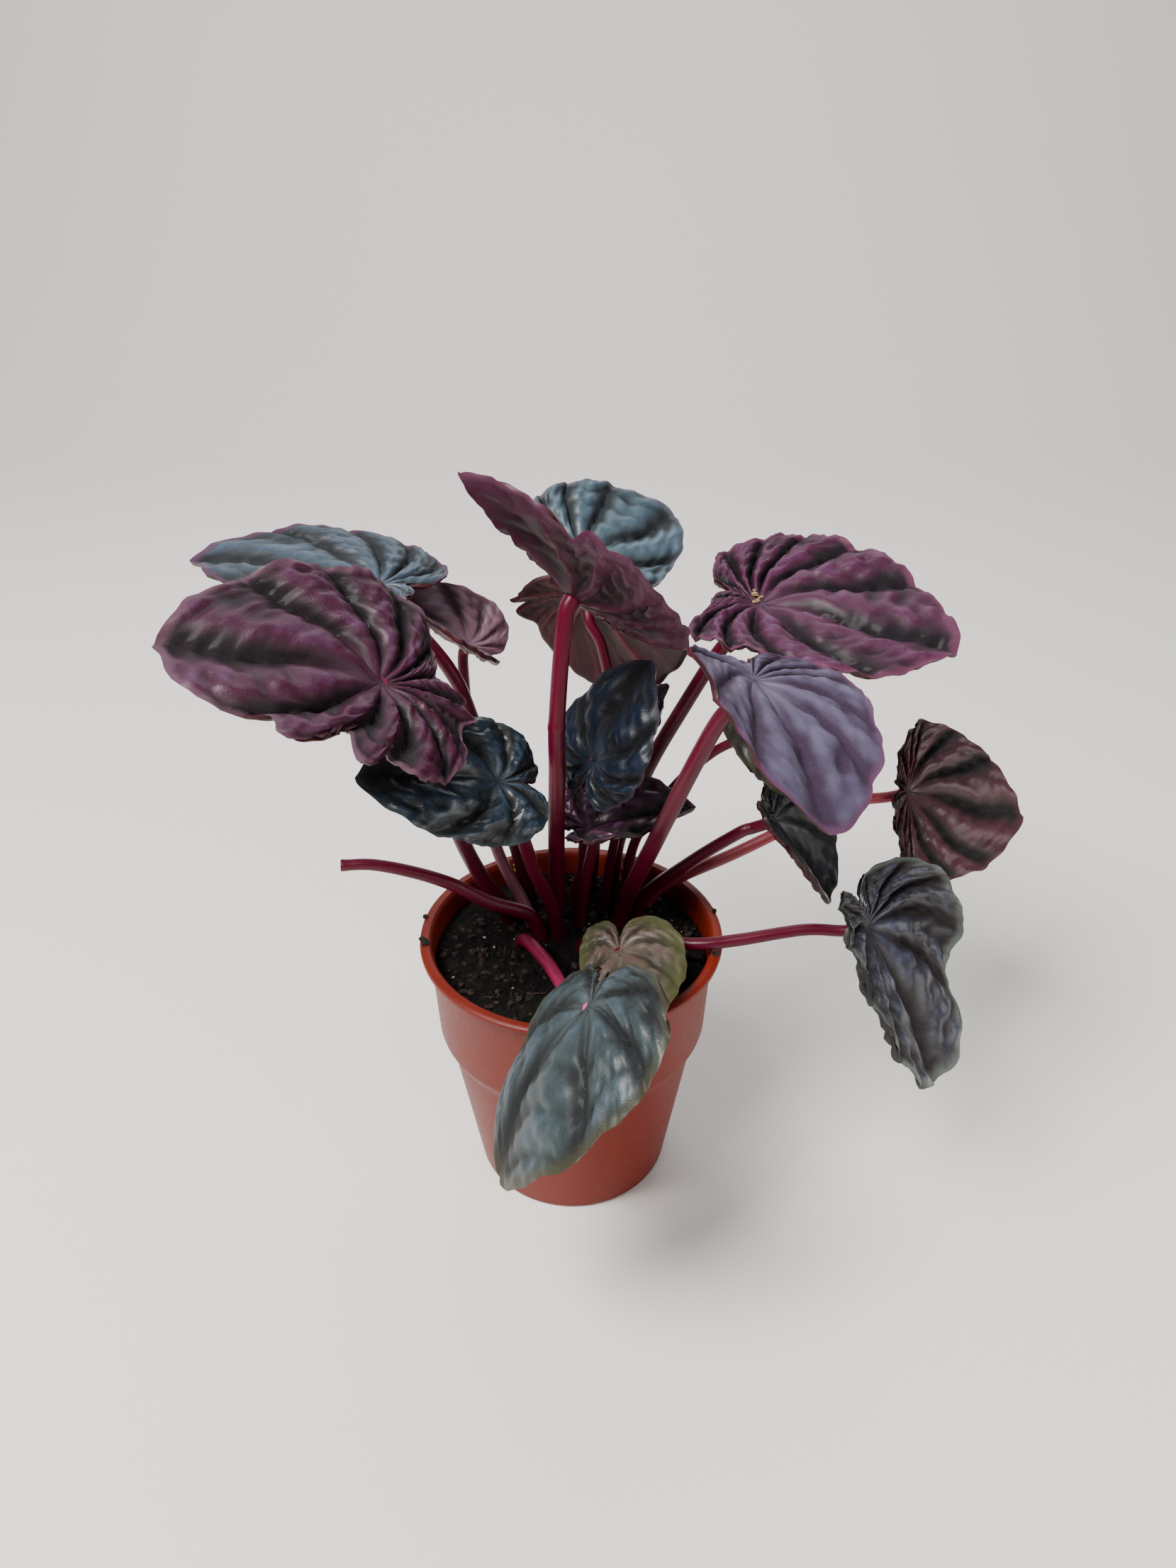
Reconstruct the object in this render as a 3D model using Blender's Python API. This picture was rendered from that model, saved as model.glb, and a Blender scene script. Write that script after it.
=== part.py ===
"""A ripple peperomia in its nursery pot.

Frame: metres, +Z up, origin at the middle of the pot's base, camera side towards -Y.
The plant is eighteen leaves, each a rippled blade on its own stalk, and one stalk that has
lost its leaf. All stalks rise from one crown and stand in plain holes in the soil.
"""

from math import cos, pi, radians, sin

import bmesh
import bpy
import numpy as np
from mathutils import Vector, noise

MM = 0.001

# Pot: a thin moulded cup with a stepped collar and a lip
POT_HEIGHT = 57.5
POT_BASE_RADIUS = 20.0
POT_SHOULDER_RADIUS = 25.2
POT_SHOULDER_HEIGHT = 33.0
COLLAR_BOTTOM_RADIUS = 27.1
COLLAR_TOP_RADIUS = 28.4
COLLAR_BOTTOM_HEIGHT = 36.5
LIP_RADIUS = 30.0
LIP_DEPTH = 1.7
POT_WALL = 1.0
POT_FLOOR = 1.3
DRAIN_RADIUS = 2.6
DRAIN_RING = 13.0
DRAIN_COUNT = 5
ROUND_SIDES = 48

# Soil: fills the pot to a little below the lip
SOIL_LEVEL = 53.0
SOIL_RELIEF = 1.1
SOIL_SIDES = 36
SOIL_RINGS = 6
FIT_GAP = 0.3
STALK_DEPTH = 8.0

# Blade: heart-shaped outline as (angle from the tip in degrees, radius / length)
OUTLINE = [(0, 1.0), (12, 0.92), (30, 0.80), (50, 0.70), (70, 0.635), (90, 0.60), (110, 0.575),
           (130, 0.545), (150, 0.49), (165, 0.40), (175, 0.27), (180, 0.15)]
BLADE_THICKNESS = 0.8
VEIN_BEND = radians(22)
RIPPLE_SHARPNESS = 0.9
DIMPLE_DEPTH = 0.9
DIMPLE_RADIUS = 3.5
MARGIN_WAVE = 0.8
RIPPLE_START = 4.0
LARGE_GRID = (32, 5)
SMALL_GRID = (24, 4)
STALK_SIDES = 8
STALK_RINGS = 11
STALK_SEAT = 4.5
STALK_NECK = 2.5
STALK_GAP = 0.5

# Colours as linear RGB
TERRACOTTA = (0.33, 0.075, 0.035)
DARK_SOIL = (0.018, 0.013, 0.011)
CRIMSON = (0.27, 0.012, 0.035)
PALE_PINK = (0.42, 0.11, 0.12)
TEAL_GREY = (0.10, 0.13, 0.16)
MAROON = (0.10, 0.035, 0.05)
PURPLE = (0.13, 0.05, 0.085)
DARK_GREEN = (0.03, 0.045, 0.05)
NEAR_BLACK = (0.018, 0.022, 0.032)
LILAC_GREY = (0.17, 0.13, 0.19)
OLIVE_GREY = (0.09, 0.11, 0.085)
PAPER_BROWN = (0.24, 0.09, 0.06)
BUD_GREEN = (0.35, 0.42, 0.06)

# Leaves. at: where the stalk meets the blade, in mm. heading: where the tip points, from +X
# towards +Y. pitch: tip up. roll: left side up. droop and lobe: how far the tip half and the
# lobed half bend down. cup: margins bent up. fold: each half turned up about the midrib.
# back: how long the lobes are. skew: how much wider the left half is. bites: (angle, depth, width) of what insects took.
# stalk: base on the soil, then points on the way up, in mm.
LEAVES = [
    dict(name="upper_left", at=(-36.5, 23.5, 121.8), heading=180, pitch=12, roll=-4, length=35, width=0.82,
         droop=10, lobe=5, back=0.85, fold=6, ripple=1.8, color=TEAL_GREY, radius=1.5,
         stalk=[(-8, 12), (-11, 12.5, 68), (-19, 13.5, 98), (-22.5, 14.5, 107), (-29, 18, 114)]),
    dict(name="broad_left", at=(-30, -14, 119), heading=200, pitch=26, roll=-23, length=36, width=1.04,
         droop=20, cup=8, lobe=35, ripple=2.4, color=MAROON, radius=1.6,
         bites=[(36, 0.18, 9), (62, 0.38, 9), (88, 0.24, 8)],
         stalk=[(-12, 10), (-13.7, 8, 57), (-18, 4.5, 67.5), (-22, 3, 80), (-25.5, 1, 98), (-28, -6, 110)]),
    dict(name="small_back_left", at=(-20, 28, 107.5), heading=175, pitch=33, roll=-5, length=19.5, width=0.95,
         back=0.85, cup=40, fold=10, ripple=1.2, color=LILAC_GREY, radius=1.25, small=True,
         stalk=[(-7.5, 7), (-9.5, 8, 57), (-15.5, 14, 68), (-20, 22, 84), (-21.7, 27, 99)]),
    dict(name="dark_left", at=(-12, -12, 99), heading=204, pitch=20, roll=-38, length=25, width=0.80,
         droop=22, cup=-10, lobe=40, back=0.9, ripple=1.4, color=DARK_GREEN, radius=1.4, small=True,
         stalk=[(-2, 4.5), (-4.1, 1.4, 62.6), (-6.9, -2.3, 73.1), (-9, -6, 84)]),
    dict(name="new_centre", at=(3.7, -3.6, 98.2), heading=40, pitch=62, roll=-6, length=21, width=1.0,
         droop=25, cup=-10, lobe=40, ripple=1.3, color=NEAR_BLACK, radius=1.2, small=True,
         stalk=[(2, 12.3), (2.4, 13.8, 66), (3.2, 14.5, 84), (4.2, 9, 92.5)]),
    dict(name="new_behind", at=(11.2, 9.5, 93), heading=30, pitch=58, roll=-4, length=14.5, width=0.65,
         droop=0, fold=18, lobe=20, ripple=1.1, color=PURPLE, radius=1.0, small=True,
         stalk=[(6, 13.2), (8.6, 13.6, 69), (11.3, 13.5, 83)]),
    dict(name="folded_centre", at=(4, 3, 80.5), heading=6, pitch=10, roll=12, length=20, width=0.84,
         droop=5, fold=30, ripple=1.2, color=MAROON, radius=1.2, small=True,
         bites=[(-150, 0.5, 25)],
         stalk=[(1, 8), (2.6, 5.5, 64)]),
    dict(name="upper_folded", at=(1.6, 0, 128.5), heading=182, pitch=45, roll=25, length=28, width=0.95,
         skew=0.2, droop=-6, lobe=-30, fold=16, back=1.65, ripple=1.8, color=PURPLE, radius=1.65,
         bites=[(48, 0.25, 7)],
         stalk=[(-3.5, 9.5), (-3, 5.5, 66), (-2.6, -1, 82.3), (-2.2, -4.4, 97), (-2.1, -5, 106.5), (-0.5, -4, 122.5)]),
    dict(name="upper_silver", at=(3.5, 37, 122.5), heading=39, pitch=5, roll=33, length=24.5, width=1.0,
         skew=0.12, cup=5, lobe=-20, back=0.8, ripple=1.8, color=TEAL_GREY, radius=1.15,
         stalk=[(3.5, 17), (6, 26, 80), (6.5, 35, 104)]),
    dict(name="upper_turned", at=(4, 24, 118.5), heading=-32, pitch=5, roll=-62, length=25, width=0.9,
         skew=0.5, droop=34, cup=-30, lobe=45, ripple=1.4, color=PURPLE, radius=1.15,
         stalk=[(-1, 16), (5, 17, 73), (7.5, 17.5, 98), (6, 18.5, 110)]),
    dict(name="broad_right", at=(34.9, 16, 120.8), heading=-28, pitch=-3, roll=11, length=37, width=0.98,
         skew=0.05, droop=3, cup=9, lobe=0, back=0.8, ripple=2.4, color=PURPLE, radius=1.6,
         bites=[(-150, 0.38, 22), (-85, 0.14, 30)],
         stalk=[(8, 17), (9.4, 18.5, 66), (15, 19, 82.8), (22, 19, 97.4), (28.8, 18, 110.5)]),
    dict(name="hanging_right", at=(30, -18, 121.5), heading=-68, pitch=-16, roll=-22, length=31, width=0.92,
         skew=0.1, droop=20, cup=18, lobe=30, back=0.45, ripple=1.7, color=LILAC_GREY, radius=1.7,
         bites=[(-135, 0.3, 25)],
         stalk=[(9, 8.8), (11, 6.5, 60), (16, -6, 83.3), (20.8, -9.5, 98.3), (24.8, -14, 111)]),
    dict(name="hanging_small", at=(39, 0, 83), heading=0, pitch=-54, roll=30, length=23, width=0.70,
         back=0.75, droop=8, fold=40, ripple=1.1, color=DARK_GREEN, radius=1.35, small=True,
         stalk=[(13.5, 10), (14.2, 9.4, 58), (23.2, 5.7, 69.5), (31.9, 2.5, 78.5)]),
    dict(name="far_right", at=(70, 21, 77.1), heading=9, pitch=-20, roll=48, length=26.7, width=1.04,
         skew=-0.09, droop=-6, cup=18, lobe=-15, back=0.35, ripple=1.8, color=MAROON, radius=1.3,
         stalk=[(15, 14.5), (18.5, 15, 57), (34, 15.5, 65.5), (54, 19, 74.5), (62.5, 24, 76)]),
    dict(name="low_right", at=(57, -9, 65), heading=-46, pitch=-55, roll=-12, length=33, width=0.95,
         skew=0.2, back=0.66, droop=0, cup=35, ripple=2.0, color=DARK_GREEN, radius=1.3,
         stalk=[(5.5, 3.5), (14, -2.5, 57), (23.5, -6.9, 59.2), (32, -7.2, 60.4), (44.5, -6.5, 62.3), (52, -7, 64.2)]),
    dict(name="front_draped", at=(2.6, -37.5, 70.6), heading=-157, pitch=-42, roll=12, length=36.5, width=0.78,
         skew=0.3, droop=38, cup=-20, lobe=-15, ripple=1.7, color=OLIVE_GREY, radius=1.35,
         stalk=[(-10.5, 3), (-9.3, -1.5, 56), (-4.3, -12.5, 59), (0.2, -26.5, 62.5)]),
    dict(name="front_small", at=(9, -13, 63), heading=-92, pitch=-8, roll=10, length=19, width=0.85,
         skew=0.25, droop=8, cup=-20, lobe=12, ripple=1.2, color=OLIVE_GREY, radius=1.2, small=True,
         stalk=[(1, 1), (3, -3, 56.5), (6.5, -8.5, 59)]),
    dict(name="hidden_right", at=(37, 6, 102), heading=-60, pitch=-30, roll=0, length=19, width=0.9,
         back=0.6, droop=20, cup=-10, ripple=1.1, color=OLIVE_GREY, radius=1.05, small=True,
         stalk=[(10.5, 13.3), (12.5, 12.6, 69), (19.3, 11.7, 82.3), (27, 10, 92)]),
]

# The stalk that has lost its leaf, and the small scraps on the soil
BARE_STALK = [(-5.6, 3.2), (-8, 2.7, 58.5), (-16.1, -0.4, 64.4), (-22.4, -1.7, 69.4), (-29.3, -2.8, 73),
              (-37, -4.1, 75.8), (-43, -5, 76.3)]
BARE_STALK_RADII = (1.5, 1.05)


def clear_scene():
    for old in list(bpy.data.objects):
        bpy.data.objects.remove(old, do_unlink=True)


def make_material(name, color, roughness, metallic=0.0):
    material = bpy.data.materials.new(name)
    material.use_nodes = True
    shader = material.node_tree.nodes["Principled BSDF"]
    shader.inputs["Base Color"].default_value = (*color, 1.0)
    shader.inputs["Roughness"].default_value = roughness
    shader.inputs["Metallic"].default_value = metallic
    material.diffuse_color = (*color, 1.0)
    return material


def add_object(name, bm, material=None, smooth_below=40):
    """Makes one named object of a bmesh in mm, and shades its gentle edges smooth."""
    bmesh.ops.scale(bm, vec=(MM, MM, MM), verts=bm.verts)
    mesh = bpy.data.meshes.new(name)
    bm.to_mesh(mesh)
    bm.free()
    mesh.shade_smooth()
    mesh.set_sharp_from_angle(angle=radians(smooth_below))
    thing = bpy.data.objects.new(name, mesh)
    bpy.context.scene.collection.objects.link(thing)
    if material:
        mesh.materials.append(material)
    return thing


def lathe(profile, sides):
    """Turns a closed (radius, height) profile about Z. Its first and last points are on the axis."""
    bm = bmesh.new()
    verts = [bm.verts.new((r, 0, z)) for r, z in profile]
    edges = [bm.edges.new(pair) for pair in zip(verts, verts[1:])]
    bmesh.ops.spin(bm, geom=verts + edges, cent=(0, 0, 0), axis=(0, 0, 1), angle=2 * pi,
                   steps=sides, use_merge=True)
    bmesh.ops.remove_doubles(bm, verts=bm.verts, dist=0.01)
    bmesh.ops.recalc_face_normals(bm, faces=bm.faces)
    return bm


def cut(thing, cutters):
    """Takes every cutter out of a thing with one Boolean, and applies it."""
    box = bpy.data.collections.new(thing.name + "_cutters")
    bpy.context.scene.collection.children.link(box)
    for cutter in cutters:
        bpy.context.scene.collection.objects.unlink(cutter)
        box.objects.link(cutter)
        cutter.hide_render = True
        cutter.display_type = "WIRE"
    modifier = thing.modifiers.new("holes", "BOOLEAN")
    modifier.operation = "DIFFERENCE"
    modifier.operand_type = "COLLECTION"
    modifier.collection = box
    modifier.solver = "EXACT"
    bpy.context.view_layer.objects.active = thing
    bpy.ops.object.modifier_apply(modifier=modifier.name)
    for cutter in cutters:
        bpy.data.objects.remove(cutter, do_unlink=True)
    bpy.data.collections.remove(box)


def pot_inner_radius(height):
    """Inside radius of the pot's wall at a height."""
    heights = [POT_FLOOR, POT_SHOULDER_HEIGHT, COLLAR_BOTTOM_HEIGHT, POT_HEIGHT]
    outer = [POT_BASE_RADIUS, POT_SHOULDER_RADIUS, COLLAR_BOTTOM_RADIUS, COLLAR_TOP_RADIUS]
    return float(np.interp(height, heights, outer)) - POT_WALL


def build_pot():
    lip_bottom = POT_HEIGHT - LIP_DEPTH
    outside = [
        (0, 0), (POT_BASE_RADIUS - 0.8, 0), (POT_BASE_RADIUS, 0.8),
        (POT_SHOULDER_RADIUS, POT_SHOULDER_HEIGHT),
        (COLLAR_BOTTOM_RADIUS - 0.4, COLLAR_BOTTOM_HEIGHT - 0.8),
        (COLLAR_BOTTOM_RADIUS, COLLAR_BOTTOM_HEIGHT),
        (COLLAR_TOP_RADIUS, lip_bottom),
        (LIP_RADIUS, lip_bottom + 0.3), (LIP_RADIUS, POT_HEIGHT - 0.4), (LIP_RADIUS - 0.4, POT_HEIGHT),
    ]
    inside_heights = [POT_HEIGHT - 0.4, COLLAR_BOTTOM_HEIGHT, POT_SHOULDER_HEIGHT, POT_FLOOR]
    inside = [(pot_inner_radius(POT_HEIGHT) + 0.5, POT_HEIGHT)]
    inside += [(pot_inner_radius(height), height) for height in inside_heights]
    bm = lathe(outside + inside + [(0, POT_FLOOR)], ROUND_SIDES)
    pot = add_object("pot", bm, make_material("terracotta_plastic", TERRACOTTA, 0.45), 30)
    cutters = []
    for index in range(DRAIN_COUNT):
        angle = 2 * pi * (index + 0.5) / DRAIN_COUNT
        hole = bmesh.new()
        bmesh.ops.create_cone(hole, cap_ends=True, segments=12, radius1=DRAIN_RADIUS,
                              radius2=DRAIN_RADIUS, depth=4 * POT_FLOOR)
        bmesh.ops.translate(hole, verts=hole.verts,
                            vec=(DRAIN_RING * cos(angle), DRAIN_RING * sin(angle), POT_FLOOR / 2))
        cutters.append(add_object("drain_cutter", hole))
    cut(pot, cutters)


def smooth_path(points, count):
    """Evenly spaced points on a smooth curve through the given ones."""
    p = np.array(points, float)
    p = np.vstack([2 * p[0] - p[1], p, 2 * p[-1] - p[-2]])
    fine = []
    for a, b, c, d in zip(p, p[1:], p[2:], p[3:]):
        for t in np.linspace(0, 1, 16, endpoint=False):
            fine.append(0.5 * (2 * b + (c - a) * t + (2 * a - 5 * b + 4 * c - d) * t**2
                               + (3 * b - a - 3 * c + d) * t**3))
    fine.append(p[-2])
    fine = np.array(fine)
    along = np.concatenate([[0], np.cumsum(np.linalg.norm(np.diff(fine, axis=0), axis=1))])
    wanted = np.append(np.linspace(0, along[-1] - STALK_NECK, count - 1), along[-1])
    return np.stack([np.interp(wanted, along, fine[:, axis]) for axis in range(3)], axis=1)


def tube(path, radii, sides):
    """A closed tube of rings along a path."""
    bm = bmesh.new()
    tangents = np.gradient(path, axis=0)
    across = Vector((1, 0, 0))
    rings = []
    for centre, tangent, radius in zip(path, tangents, radii):
        tangent = Vector(tangent).normalized()
        across = (across - tangent * across.dot(tangent)).normalized()
        other = tangent.cross(across)
        turns = [2 * pi * k / sides for k in range(sides)]
        spokes = [(across * cos(a) + other * sin(a)) * float(radius) for a in turns]
        rings.append([bm.verts.new(Vector(centre) + spoke) for spoke in spokes])
    for low, high in zip(rings, rings[1:]):
        for k in range(sides):
            n = (k + 1) % sides
            bm.faces.new((low[k], low[n], high[n], high[k]))
    bm.faces.new(rings[0][::-1])
    bm.faces.new(rings[-1])
    return bm


def build_stalk(name, points, radii, material):
    """One stalk, and the cutter that makes its hole in the soil."""
    x, y = points[0]
    route = [(x, y, SOIL_LEVEL - STALK_DEPTH), (x, y, SOIL_LEVEL - 0.5 * STALK_DEPTH)] + points[1:]
    path = smooth_path(route, STALK_RINGS)
    thickness = np.interp(np.linspace(0, 1, STALK_RINGS), (0, 0.25, 1), (1.05 * radii[0], radii[0], radii[1]))
    add_object(name, tube(path, thickness, STALK_SIDES), material)
    hole = path.copy()
    hole[0, 2] -= FIT_GAP
    count = max(3, int(np.argmax(hole[:, 2] > SOIL_LEVEL + 5)) + 1)
    return add_object("hole_" + name, tube(hole[:count], thickness[:count] + FIT_GAP, STALK_SIDES))


def outline_radius(angle, bites):
    """Radius / length of the heart outline at an angle from the tip, less what was bitten off."""
    degrees = np.abs(np.degrees((angle + pi) % (2 * pi) - pi))
    knots, values = zip(*OUTLINE)
    fine = np.linspace(0, 180, 181)
    spread = np.convolve(np.pad(np.interp(fine, knots, values), 4, mode="reflect"), np.ones(9) / 9, "valid")
    spread[:9] = np.interp(fine[:9], knots, values)
    radius = np.interp(degrees, fine, spread)
    for centre, depth, width in bites:
        away = np.degrees((angle - radians(centre) + pi) % (2 * pi) - pi)
        radius = radius * (1 - depth * np.exp(-(away / width) ** 2))
    return radius


def leaf_frame(leaf):
    """Columns: tip direction, left side, upper side."""
    heading, pitch, roll = (radians(leaf[key]) for key in ("heading", "pitch", "roll"))
    tip = np.array((cos(pitch) * cos(heading), cos(pitch) * sin(heading), sin(pitch)))
    left = np.array((-sin(heading), cos(heading), 0.0))
    upper = np.cross(tip, left)
    return np.stack([tip, left * cos(roll) + upper * sin(roll), upper * cos(roll) - left * sin(roll)], axis=1)


def bend(x, z, turn):
    """Bends the x axis of a sheet into an arc, down for a positive turn per mm."""
    turn = np.where(np.abs(turn) < 1e-6, 1e-6, turn)
    angle = x * turn
    return np.sin(angle) / turn + z * np.sin(angle), (np.cos(angle) - 1) / turn + z * np.cos(angle)


def blade_points(leaf, s, angle):
    """Points of a blade's upper face: s runs from the stalk to the margin, angle round from the tip."""
    length = leaf["length"]
    reach = s * outline_radius(angle, leaf.get("bites", []))
    turned = angle + VEIN_BEND * np.sin(angle) * (1 - s)
    x = reach * np.cos(turned) * length
    x = np.where(x < 0, x * leaf.get("back", 1.0), x)
    y = reach * np.sin(turned) * length * leaf["width"]
    y = y * (1 + leaf.get("skew", 0) * np.sign(y))
    furrows = (SMALL_GRID if leaf.get("small") else LARGE_GRID)[0] / 2
    swell = s**1.2 * (2.1 - 1.6 * s) / 0.66
    ridge = np.abs(np.sin(angle * furrows / 2)) ** RIPPLE_SHARPNESS - 0.5
    z = leaf["ripple"] * swell * ridge * (1 - np.exp(-(reach * length / RIPPLE_START) ** 2))
    z = z - DIMPLE_DEPTH * np.exp(-(reach * length / DIMPLE_RADIUS) ** 2)
    z = z + MARGIN_WAVE * s**2 * np.sin(3 * angle + length) * np.abs(np.sin(angle / 2))
    fold = radians(leaf.get("fold", 0))
    aside = np.sqrt(y**2 + 4) - 2
    y, z = y * cos(fold) - np.sign(y) * z * sin(fold) * 0.5, z * cos(fold) + aside * sin(fold)
    y, z = bend(y, z, -radians(leaf.get("cup", 0)) / (0.6 * length * leaf["width"]))
    turn = np.where(x > 0, radians(leaf.get("droop", 0)), radians(leaf.get("lobe", 0))) / length
    x, z = bend(x, z, turn)
    return np.array(leaf["at"]) + np.stack([x, y, z], axis=-1) @ leaf_frame(leaf).T


def build_blade(leaf, material):
    sides, rings = SMALL_GRID if leaf.get("small") else LARGE_GRID
    angles = 2 * pi * np.arange(sides) / sides
    bm = bmesh.new()
    centre = bm.verts.new(blade_points(leaf, np.zeros(1), np.zeros(1))[0])
    grid = []
    for ring in range(1, rings + 1):
        s = np.full(sides, (ring / rings) ** 0.9)
        grid.append([bm.verts.new(point) for point in blade_points(leaf, s, angles)])
    for k in range(sides):
        n = (k + 1) % sides
        bm.faces.new((centre, grid[0][k], grid[0][n]))
        for low, high in zip(grid, grid[1:]):
            corners = (low[k], high[k], high[n], low[n])
            first = 0 if (corners[0].co - corners[2].co).length < (corners[1].co - corners[3].co).length else 1
            a, b, c, d = corners[first:] + corners[:first]
            bm.faces.new((a, b, c))
            bm.faces.new((a, c, d))
    blade = add_object("blade_" + leaf["name"], bm, material, 60)
    wall = blade.modifiers.new("thickness", "SOLIDIFY")
    wall.thickness = BLADE_THICKNESS * MM
    wall.offset = -1
    return blade


def build_leaf(leaf, stalk_material):
    """Blade and stalk. The stalk comes up square to the blade and stops just under it."""
    material = make_material(leaf["name"] + "_leaf", leaf["color"], 0.38)
    build_blade(leaf, material)
    middle = blade_points(leaf, np.zeros(1), np.zeros(1))[0]
    tip, left, back, right = blade_points(leaf, np.full(4, 0.2), np.arange(4) * pi / 2)
    upper = np.cross(tip - back, left - right)
    upper = upper / np.linalg.norm(upper)
    seat = middle - upper * (BLADE_THICKNESS + STALK_GAP)
    points = leaf["stalk"] + [tuple(seat - upper * STALK_SEAT), tuple(seat)]
    radii = (leaf["radius"], leaf["radius"] * 0.85)
    return build_stalk("stalk_" + leaf["name"], points, radii, stalk_material)


def soil_height(x, y):
    """Crumbly top of the soil, flat at the wall."""
    lump = noise.noise(Vector((x * 0.22, y * 0.22, 1.7))) + 0.5 * noise.noise(Vector((x * 0.55, y * 0.55, 6.1)))
    return SOIL_LEVEL + SOIL_RELIEF * lump


def build_soil(hole_cutters):
    bm = bmesh.new()
    side_heights = [POT_FLOOR + FIT_GAP, POT_SHOULDER_HEIGHT, COLLAR_BOTTOM_HEIGHT, SOIL_LEVEL]
    circle = [2 * pi * k / SOIL_SIDES for k in range(SOIL_SIDES)]
    loops = []
    for height in side_heights:
        radius = pot_inner_radius(height) - FIT_GAP
        loops.append([bm.verts.new((radius * cos(a), radius * sin(a), height)) for a in circle])
    top_radius = pot_inner_radius(SOIL_LEVEL) - FIT_GAP
    for ring in range(SOIL_RINGS - 1, 0, -1):
        radius = top_radius * ring / SOIL_RINGS
        loop = [(radius * cos(a + 0.09 * ring), radius * sin(a + 0.09 * ring)) for a in circle]
        loops.append([bm.verts.new((x, y, soil_height(x, y))) for x, y in loop])
    for low, high in zip(loops, loops[1:]):
        for k in range(SOIL_SIDES):
            n = (k + 1) % SOIL_SIDES
            bm.faces.new((low[k], low[n], high[n]))
            bm.faces.new((low[k], high[n], high[k]))
    middle = bm.verts.new((0, 0, soil_height(0, 0)))
    for k in range(SOIL_SIDES):
        bm.faces.new((loops[-1][k], loops[-1][(k + 1) % SOIL_SIDES], middle))
    bm.faces.new(loops[0][::-1])
    soil = add_object("soil", bm, make_material("potting_soil", DARK_SOIL, 0.95))
    cut(soil, hole_cutters)


def build_scrap(name, place, size, tilt, material):
    """A dry crumpled scrap: a small waved patch with a thickness."""
    bm = bmesh.new()
    bmesh.ops.create_grid(bm, x_segments=4, y_segments=3, size=0.5)
    for vert in bm.verts:
        x, y = vert.co.x, vert.co.y
        wave = 0.22 * sin(7 * x + 2) + 0.16 * cos(8 * y)
        vert.co = Vector((x * size[0] * (1 - 0.5 * y * y), y * size[1] * (1 - 0.8 * x * x), wave * size[2]))
        vert.co.rotate(Vector((0, 0, 1)).rotation_difference(Vector(tilt)))
        vert.co += Vector(place)
    bmesh.ops.triangulate(bm, faces=bm.faces)
    scrap = add_object(name, bm, material, 60)
    wall = scrap.modifiers.new("thickness", "SOLIDIFY")
    wall.thickness = 0.6 * MM
    wall.offset = 1
    return scrap


def build_plant():
    crimson = make_material("crimson_stalk", CRIMSON, 0.35)
    pale = make_material("pale_stalk", PALE_PINK, 0.4)
    cutters = []
    for leaf in LEAVES:
        cutters.append(build_leaf(leaf, pale if leaf["name"] == "far_right" else crimson))
    cutters.append(build_stalk("stalk_bare", BARE_STALK, BARE_STALK_RADII, crimson))
    build_soil(cutters)
    build_scrap("dry_leaf", (12, 20.3, 58), (7.5, 6, 4), (-0.2, -0.9, 0.5), make_material("dry_leaf", PAPER_BROWN, 0.8))
    build_scrap("bud_scrap", (-10, 16.5, 56.5), (5, 4, 4), (0.1, -0.6, 0.8), make_material("bud_green", BUD_GREEN, 0.5))


clear_scene()
build_pot()
build_plant()
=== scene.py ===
"""Looks of a ripple peperomia in its nursery pot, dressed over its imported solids."""

from math import cos, pi, radians, sin

import bpy
import numpy as np
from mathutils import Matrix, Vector, noise


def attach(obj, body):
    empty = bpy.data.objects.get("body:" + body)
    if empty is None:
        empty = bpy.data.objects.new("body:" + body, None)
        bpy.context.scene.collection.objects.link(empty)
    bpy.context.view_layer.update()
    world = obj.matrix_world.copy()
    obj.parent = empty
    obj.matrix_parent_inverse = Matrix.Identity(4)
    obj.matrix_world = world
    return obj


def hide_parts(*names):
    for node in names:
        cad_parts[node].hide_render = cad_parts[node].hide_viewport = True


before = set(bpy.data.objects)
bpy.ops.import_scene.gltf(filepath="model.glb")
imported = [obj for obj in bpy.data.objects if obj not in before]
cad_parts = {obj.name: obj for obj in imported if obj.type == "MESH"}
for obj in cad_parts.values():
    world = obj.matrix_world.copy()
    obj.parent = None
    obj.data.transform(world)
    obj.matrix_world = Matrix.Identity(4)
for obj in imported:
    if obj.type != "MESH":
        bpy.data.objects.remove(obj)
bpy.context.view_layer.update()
MM = 0.001


# Camera
# It stands in front of the pot, a little above the leaves, and looks down on them at the
# photograph's angle, with the photograph's field of view.
bpy.ops.object.camera_add(location=(0.0033, -0.187, 0.201), rotation=(radians(90 - 30.46), 0, 0))
camera = bpy.context.object
camera.data.lens = 27.0
camera.data.sensor_width = 36.0
camera.data.clip_start = 0.01
bpy.context.scene.camera = camera


# Pot
# A thin cup of terracotta-coloured plastic, moulded in one piece: a tapered body, a bevelled
# shoulder, a straighter collar and a narrow lip with a fine line under it. Its floor has five
# drain holes.
class Wire:
    """A shader socket on which Python's operators add Math nodes."""

    def __init__(self, paint, socket):
        self.paint = paint
        self.socket = socket

    def math(self, operation, first, second):
        return self.paint.add("ShaderNodeMath", {"operation": operation}, {0: first, 1: second})

    def __add__(self, other):
        return self.math("ADD", self, other)

    __radd__ = __add__

    def __sub__(self, other):
        return self.math("SUBTRACT", self, other)

    def __rsub__(self, other):
        return self.math("SUBTRACT", other, self)

    def __mul__(self, other):
        return self.math("MULTIPLY", self, other)

    __rmul__ = __mul__


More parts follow.
